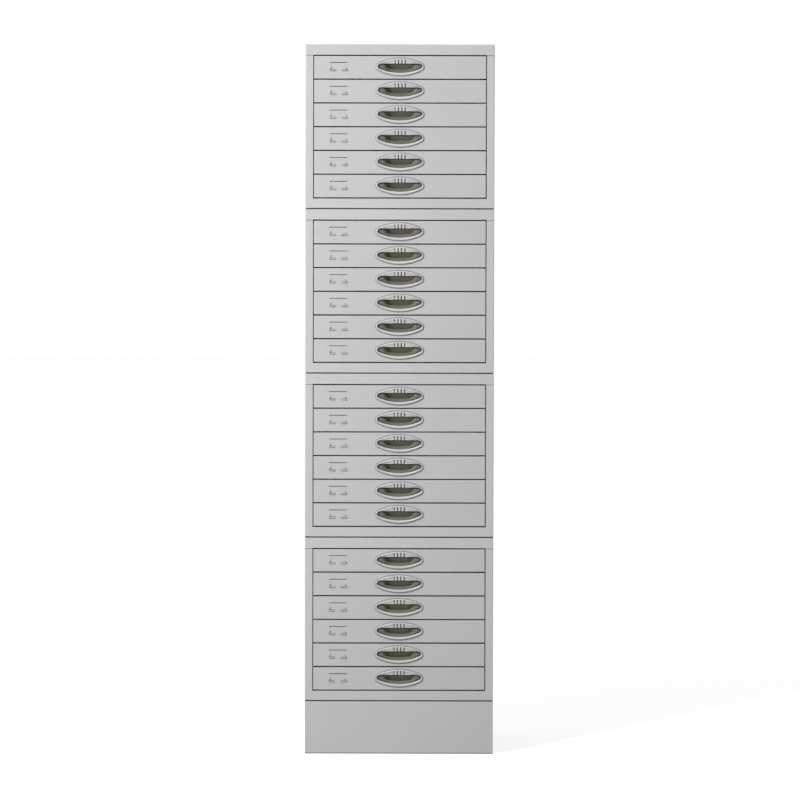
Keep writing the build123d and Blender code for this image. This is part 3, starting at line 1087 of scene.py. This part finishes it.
def light_room(scene, studio):
    """Soft light from all round, more of it from above and behind, which looks white to the camera."""
    world = bpy.data.worlds.new("studio_room")
    scene.world = world
    world.use_nodes = True
    tree = world.node_tree
    tree.nodes.clear()
    path = add_node(tree, "ShaderNodeLightPath").outputs
    seen = calculate(tree, "MAXIMUM", path["Is Camera Ray"], path["Is Transmission Ray"])
    direction = add_node(tree, "ShaderNodeTexCoord").outputs["Generated"]
    both_vectors = {0: direction, 1: tuple(studio.room_slope)}
    slope = add_node(tree, "ShaderNodeVectorMath", both_vectors, operation="DOT_PRODUCT")
    share = calculate(tree, "ADD", slope.outputs["Value"], 1.0)
    share = calculate(tree, "MAXIMUM", share, 0.1)
    away = add_node(tree, "ShaderNodeSeparateXYZ", {0: direction}).outputs["Y"]
    behind = calculate(tree, "MULTIPLY", calculate(tree, "MAXIMUM", away, 0.0), studio.room_behind)
    share = calculate(tree, "ADD", share, behind)
    room = calculate(tree, "MULTIPLY", share, studio.room_light)
    level = add_node(tree, "ShaderNodeMix", {0: seen, 2: room, 3: 1.0}, data_type="FLOAT")
    background = add_node(
        tree, "ShaderNodeBackground", {"Color": WHITE, "Strength": level.outputs[0]}
    )
    add_node(tree, "ShaderNodeOutputWorld", {"Surface": background.outputs[0]})


def hang_lamp(scene, name, power, size, place, aim):
    """Rectangular lamp of a width and height, turned towards a point."""
    lamp = bpy.data.lights.new(name, "AREA")
    lamp.shape = "RECTANGLE"
    lamp.size, lamp.size_y = size
    lamp.energy = power
    holder = bpy.data.objects.new(name, lamp)
    holder.location = place
    holder.rotation_euler = (aim - place).to_track_quat("-Z", "Y").to_euler()
    scene.collection.objects.link(holder)


def hang_lamps(scene, studio):
    """High lamp at the upper left, and a tall strip close by on the left."""
    top = Vector((0.0, FACE_Y, CAD_BOX[1].z))
    place = top + Vector(studio.key_place)
    aim = Vector((0.0, FACE_Y, top.z / 2))
    hang_lamp(scene, "key_lamp", studio.key_power, studio.key_size, place, aim)
    place = top + Vector(studio.strip_place)
    aim = Vector((0.0, FACE_Y, place.z))
    hang_lamp(scene, "strip_lamp", studio.strip_power, studio.strip_size, place, aim)


def set_camera(scene, studio):
    """Camera in front of the cabinet, a little above its middle, which it looks down at."""
    camera = bpy.data.objects.new("camera", bpy.data.cameras.new("camera"))
    camera.data.sensor_width = 36.0
    camera.data.lens = camera.data.sensor_width * studio.camera_distance / studio.picture_width
    camera.data.clip_end = 2 * studio.floor_size
    rise = studio.camera_distance * math.tan(studio.camera_tilt)
    camera.location = (studio.camera_shift, FACE_Y - studio.camera_distance, CAD_BOX[1].z / 2 + rise)
    camera.rotation_euler = Euler((math.pi / 2 - studio.camera_tilt, studio.camera_roll, 0.0))
    scene.collection.objects.link(camera)
    scene.camera = camera


# ---------------------------------------------------------------- panel and registration


class CABINET_PT_panel(bpy.types.Panel):
    """Sidebar panel with the cabinet's settings and steps"""

    bl_idname = "CABINET_PT_panel"
    bl_label = "Slide Cabinet"
    bl_space_type = "VIEW_3D"
    bl_region_type = "UI"
    bl_category = "Slide Cabinet"

    def draw(self, context):
        for name in ("cabinet_finish", "pull_shape", "cabinet_studio"):
            settings = getattr(context.scene, name)
            column = self.layout.column(align=True)
            for key in settings.bl_rna.properties.keys():
                if key not in ("rna_type", "name"):
                    column.prop(settings, key)
        for operator in STEPS:
            self.layout.operator(operator.bl_idname)


SETTINGS = {"cabinet_finish": CabinetFinish, "pull_shape": PullShape, "cabinet_studio": Studio}
STEPS = (
    CABINET_OT_casings,
    CABINET_OT_back_panels,
    CABINET_OT_plinth,
    CABINET_OT_runners,
    CABINET_OT_drawers,
    CABINET_OT_pulls,
    CABINET_OT_stage,
)
CLASSES = (*SETTINGS.values(), *STEPS, CABINET_PT_panel)


def register():
    for cls in CLASSES:
        bpy.utils.register_class(cls)
    for name, settings in SETTINGS.items():
        setattr(bpy.types.Scene, name, PointerProperty(type=settings))


def unregister():
    for name in SETTINGS:
        delattr(bpy.types.Scene, name)
    for cls in reversed(CLASSES):
        bpy.utils.unregister_class(cls)


def main():
    register()
    bpy.ops.slide_cabinet.finish_casings()
    bpy.ops.slide_cabinet.finish_back_panels()
    bpy.ops.slide_cabinet.finish_plinth()
    bpy.ops.slide_cabinet.finish_runners()
    bpy.ops.slide_cabinet.finish_drawers()
    bpy.ops.slide_cabinet.build_pulls()
    bpy.ops.slide_cabinet.build_stage()


if __name__ == "__main__":
    main()
